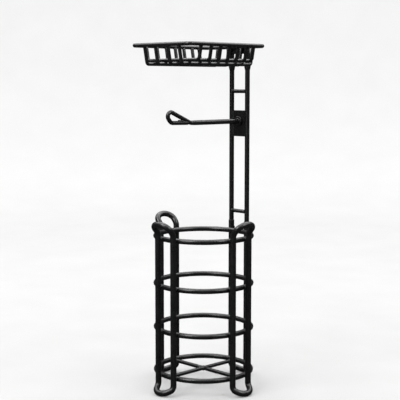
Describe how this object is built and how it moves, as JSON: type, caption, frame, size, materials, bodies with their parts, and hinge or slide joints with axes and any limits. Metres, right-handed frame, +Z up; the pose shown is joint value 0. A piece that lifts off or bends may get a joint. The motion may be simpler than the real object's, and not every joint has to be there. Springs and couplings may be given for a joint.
{
  "type": "free-standing toilet paper holder",
  "caption": "Free-standing black rod toilet paper holder: a round cage for spare rolls, a ladder column with a roll arm, and a wire basket on top.",
  "frame": {"origin": "on the floor, under the middle of the round cage", "axes": "+Z up, +Y towards the column at the back, so the roll arm points along -Y; X is the width"},
  "size_m": [0.2558, 0.2558, 0.6956],
  "materials": {
    "black_coat": "satin black powder coat on steel rod",
    "fastener_steel": "zinc plated steel fasteners"
  },
  "bodies": {
    "root": {"leg_loop_front": "black_coat", "leg_loop_right": "black_coat", "leg_loop_left": "black_coat", "leg_loop_back": "black_coat", "ring_base": "black_coat", "ring_lower": "black_coat", "ring_upper": "black_coat", "ring_top": "black_coat", "base_bar_long": "black_coat", "base_bar_left": "black_coat", "base_bar_right": "black_coat", "post_left": "black_coat", "post_right": "black_coat", "rung_lower": "black_coat", "rung_upper": "black_coat", "lock_screw_left": "fastener_steel", "lock_screw_right": "fastener_steel", "arm_plate": "black_coat", "arm": "black_coat", "arm_washer": "fastener_steel", "arm_cap_nut": "fastener_steel", "basket_stub_left": "black_coat", "basket_stub_right": "black_coat", "post_collar_left": "black_coat", "post_collar_right": "black_coat", "basket_mount_bar": "black_coat", "basket_rim": "black_coat", "basket_cross_wire_1": "black_coat", "basket_cross_wire_2": "black_coat", "basket_cross_wire_3": "black_coat", "basket_cross_wire_4": "black_coat", "basket_cross_wire_5": "black_coat", "basket_cross_wire_6": "black_coat", "basket_cross_wire_7": "black_coat", "basket_long_wire_1": "black_coat", "basket_long_wire_2": "black_coat", "basket_long_wire_3": "black_coat", "basket_long_wire_4": "black_coat"}
  },
  "joints": []
}
